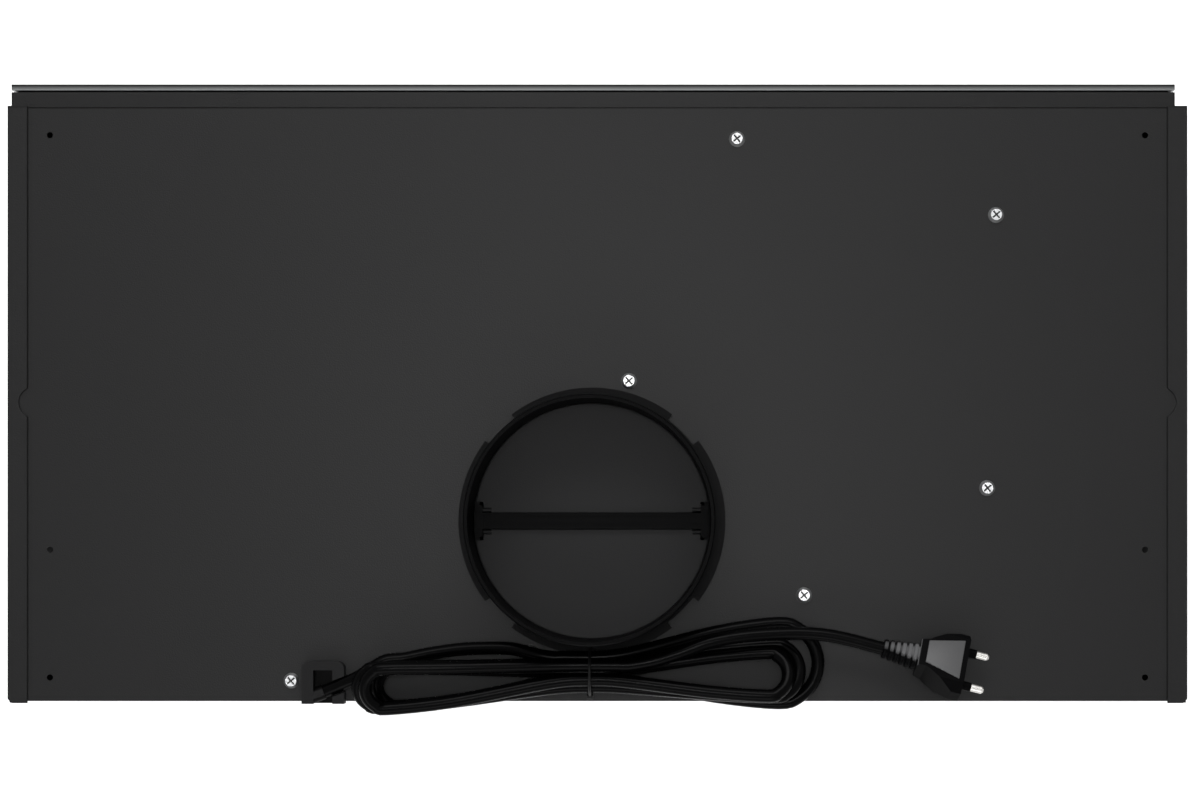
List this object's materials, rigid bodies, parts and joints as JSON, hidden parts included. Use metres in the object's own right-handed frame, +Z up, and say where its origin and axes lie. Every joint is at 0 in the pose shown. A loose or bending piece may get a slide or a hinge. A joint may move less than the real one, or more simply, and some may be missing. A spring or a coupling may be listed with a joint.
{
  "type": "range hood",
  "caption": "Black slide-out range hood that hangs under a wall cabinet, with a round duct collar on top, a grey glass front and a tied mains cord.",
  "frame": {"origin": "floor of the hood, in the middle of its width and depth, cord left out", "axes": "+Z up towards the duct, -Y towards the user and the way the visor slides out, +X to the user's right"},
  "size_m": [0.6, 0.3208, 0.16],
  "materials": {
    "black_coat": "satin powder coat with a fine grain",
    "filter_alloy": "rolled",
    "filter_mesh": "expanded layers",
    "black_plastic": "moulded",
    "flap_plastic": "moulded, a little lighter than the collar",
    "fascia_glass": "tempered, painted grey on its back",
    "foam": "closed-cell foam",
    "zinc": "zinc plated",
    "blower_plastic": "moulded",
    "bright_steel": "ground",
    "motor_iron": "laminated",
    "die_cast": "die cast",
    "bush_rubber": "moulded",
    "capacitor_can": "moulded",
    "wire_pvc": "sleeved",
    "button_caps": "moulded",
    "lamp_housing": "silver",
    "lamp_lens": "frosted diffuser",
    "cord_pvc": "satin PVC",
    "tie_wire": "coated wire",
    "pin_nickel": "nickel-plated brass"
  },
  "bodies": {
    "hood": {"top_panel": "black_coat", "side_panel_left": "black_coat", "side_panel_right": "black_coat", "rear_panel": "black_coat", "front_beam": "black_coat", "lamp_rail": "black_coat", "rear_rail": "black_coat", "filter_divider": "black_coat", "filter_frame_left": "filter_alloy", "filter_frame_right": "filter_alloy", "filter_mesh_left": "filter_mesh", "filter_mesh_right": "filter_mesh", "slide_outers": "zinc", "duct_collar": "black_plastic", "damper_bar": "black_plastic", "duct_gasket": "foam", "blower_upper": "blower_plastic", "blower_lower": "blower_plastic", "motor_stator": "motor_iron", "motor_ends": "die_cast", "motor_bearings": "bright_steel", "motor_bracket": "zinc", "motor_bushes": "bush_rubber", "capacitor": "capacitor_can", "junction_box": "black_plastic", "junction_lid": "black_plastic", "cord_clamp": "black_plastic", "wire_harness": "wire_pvc", "switch_block": "black_plastic", "lamp_housings": "lamp_housing", "lamp_lenses": "lamp_lens", "top_screws": "zinc", "cord_gland": "black_plastic", "cord_lead_in": "cord_pvc", "cord_hank": "cord_pvc", "cord_tie": "tie_wire", "cord_lead_out": "cord_pvc", "plug_body": "cord_pvc", "plug_pins": "pin_nickel"},
    "visor": {"visor_frame": "black_coat", "visor_front": "black_coat", "visor_glass": "fascia_glass", "glass_tape": "foam", "visor_end_caps": "black_plastic", "visor_filter_frame": "filter_alloy", "visor_filter_mesh": "filter_mesh", "slide_inners": "zinc"},
    "middle_left": {"slide_middle_left": "zinc"},
    "middle_right": {"slide_middle_right": "zinc"},
    "latch_left": {"filter_latch_left": "black_plastic"},
    "latch_right": {"filter_latch_right": "black_plastic"},
    "flap_front": {"damper_flap_front": "flap_plastic"},
    "flap_rear": {"damper_flap_rear": "flap_plastic"},
    "rotor": {"impeller": "blower_plastic", "motor_shaft": "bright_steel", "motor_rotor": "motor_iron"},
    "key_off": {"button_off": "button_caps"},
    "key_speed_1": {"button_speed_1": "button_caps"},
    "key_speed_2": {"button_speed_2": "button_caps"},
    "key_light": {"button_light": "button_caps"}
  },
  "joints": [
    {"name": "visor_slide", "type": "slide", "parent": "hood", "child": "visor", "axis": [0, -1, 0], "range_m": [0, 0.15]},
    {"name": "middle_left_slide", "type": "slide", "parent": "hood", "child": "middle_left", "axis": [0, -1, 0], "range_m": [0, 0.075]},
    {"name": "middle_right_slide", "type": "slide", "parent": "hood", "child": "middle_right", "axis": [0, -1, 0], "range_m": [0, 0.075]},
    {"name": "latch_left_slide", "type": "slide", "parent": "hood", "child": "latch_left", "axis": [0, 1, 0], "range_m": [0, 0.005], "stiffness_N_per_m": 300, "springref_m": -0.006},
    {"name": "latch_right_slide", "type": "slide", "parent": "hood", "child": "latch_right", "axis": [0, 1, 0], "range_m": [0, 0.005], "stiffness_N_per_m": 300, "springref_m": -0.006},
    {"name": "flap_front_hinge", "type": "hinge", "parent": "hood", "child": "flap_front", "pos_m": [0.0028, 0.0598, 0.1218], "axis": [-1, 0, 0], "range_deg": [0, 80]},
    {"name": "flap_rear_hinge", "type": "hinge", "parent": "hood", "child": "flap_rear", "pos_m": [0.0028, 0.071, 0.1218], "axis": [1, 0, 0], "range_deg": [0, 80]},
    {"name": "rotor_spin", "type": "hinge", "parent": "hood", "child": "rotor", "pos_m": [-0.126, -0.0315, 0.08], "axis": [0, 0, 1], "continuous": true},
    {"name": "key_off_press", "type": "slide", "parent": "hood", "child": "key_off", "axis": [0, 0, 1], "range_m": [0, 0.0025], "stiffness_N_per_m": 400, "springref_m": -0.003},
    {"name": "key_speed_1_press", "type": "slide", "parent": "hood", "child": "key_speed_1", "axis": [0, 0, 1], "range_m": [0, 0.0025], "stiffness_N_per_m": 400, "springref_m": -0.003},
    {"name": "key_speed_2_press", "type": "slide", "parent": "hood", "child": "key_speed_2", "axis": [0, 0, 1], "range_m": [0, 0.0025], "stiffness_N_per_m": 400, "springref_m": -0.003},
    {"name": "key_light_press", "type": "slide", "parent": "hood", "child": "key_light", "axis": [0, 0, 1], "range_m": [0, 0.0025], "stiffness_N_per_m": 400, "springref_m": -0.003}
  ],
  "couplings": [
    {"joint": "middle_left_slide", "follows": "visor_slide", "ratio": 0.5},
    {"joint": "middle_right_slide", "follows": "visor_slide", "ratio": 0.5}
  ]
}
